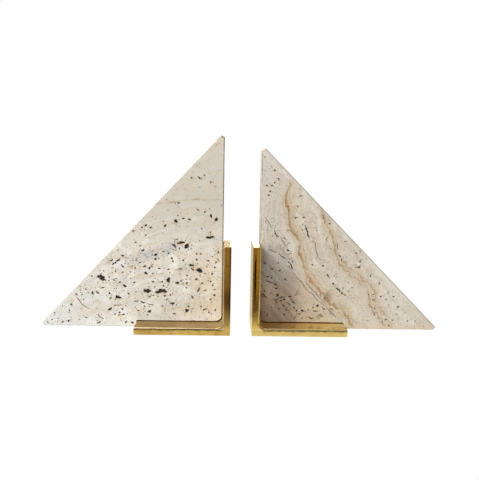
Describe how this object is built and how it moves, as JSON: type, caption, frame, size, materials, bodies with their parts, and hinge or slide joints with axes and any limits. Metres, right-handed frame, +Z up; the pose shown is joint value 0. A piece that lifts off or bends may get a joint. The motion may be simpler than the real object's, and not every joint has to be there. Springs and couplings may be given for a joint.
{
  "type": "book ends",
  "caption": "Pair of book ends: pitted travertine right-triangle wedges standing in thick L-shaped brass brackets, with the gap for books between their upright legs.",
  "frame": {"origin": "on the shelf, midway between the two book ends and under the middle of their depth", "axes": "+Z up, +X along the shelf towards the right book end, the front ledge of each bracket faces -Y"},
  "size_m": [0.4168, 0.06, 0.2035],
  "materials": {
    "left_travertine": "honed, unfilled pores, pale cream",
    "right_travertine": "honed, unfilled pores, tan veins",
    "left_brass": "satin, slightly aged",
    "right_brass": "soft polish",
    "epoxy": "cured clear amber",
    "dowel_steel": "ground",
    "felt": "pressed felt"
  },
  "bodies": {
    "left_bookend": {"left_brass_bracket": "left_brass", "left_travertine_slab": "left_travertine", "left_seat_epoxy_bed": "epoxy", "left_back_epoxy_bed": "epoxy", "left_inner_dowel_pin": "dowel_steel", "left_outer_dowel_pin": "dowel_steel", "left_inner_front_felt_pad": "felt", "left_inner_back_felt_pad": "felt", "left_outer_front_felt_pad": "felt", "left_outer_back_felt_pad": "felt"},
    "right_bookend": {"right_brass_bracket": "right_brass", "right_travertine_slab": "right_travertine", "right_seat_epoxy_bed": "epoxy", "right_back_epoxy_bed": "epoxy", "right_inner_dowel_pin": "dowel_steel", "right_outer_dowel_pin": "dowel_steel", "right_inner_front_felt_pad": "felt", "right_inner_back_felt_pad": "felt", "right_outer_front_felt_pad": "felt", "right_outer_back_felt_pad": "felt"}
  },
  "joints": [
    {"name": "spread_slide", "type": "slide", "parent": "left_bookend", "child": "right_bookend", "axis": [1, 0, 0], "range_m": [-0.021, 0.3]}
  ]
}
